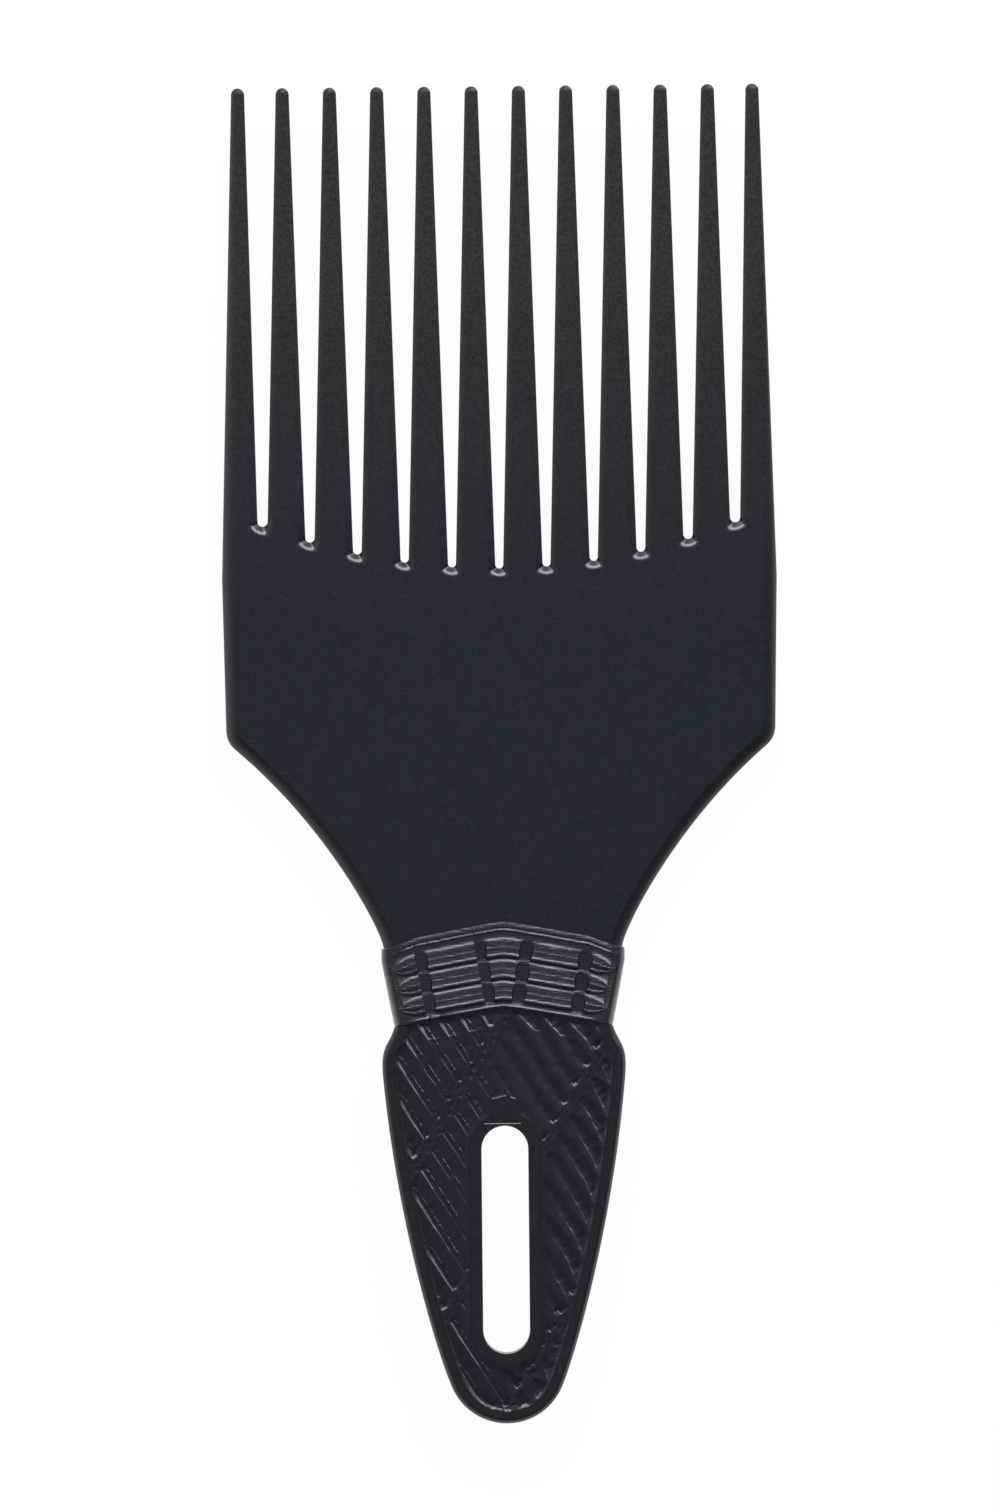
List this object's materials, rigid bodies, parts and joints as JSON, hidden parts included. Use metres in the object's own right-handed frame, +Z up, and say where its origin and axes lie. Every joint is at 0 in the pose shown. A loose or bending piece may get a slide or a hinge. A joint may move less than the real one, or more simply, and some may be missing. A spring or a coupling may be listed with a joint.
{
  "type": "volumizing comb",
  "caption": "Wide-toothed lifting comb with long tapered teeth, a flat head, a ribbed chevron collar and a wrapped handle with a hang slot.",
  "frame": {"origin": "middle of the comb's outline, on the plane that the handle rests on", "axes": "+X across the teeth, +Y along the comb towards the tooth tips, +Z up through the thickness, out of the front face"},
  "size_m": [0.083, 0.2, 0.008],
  "materials": {
    "blade_nylon": "fine satin grain, near black",
    "collar_nylon": "satin, near black",
    "handle_nylon": "satin, near black",
    "grip_nylon": "satin with moulded relief, near black"
  },
  "bodies": {
    "root": {"comb_blade": "blade_nylon", "collar": "collar_nylon", "handle_body": "handle_nylon", "front_grip_panel": "grip_nylon", "rear_grip_panel": "grip_nylon"}
  },
  "joints": []
}
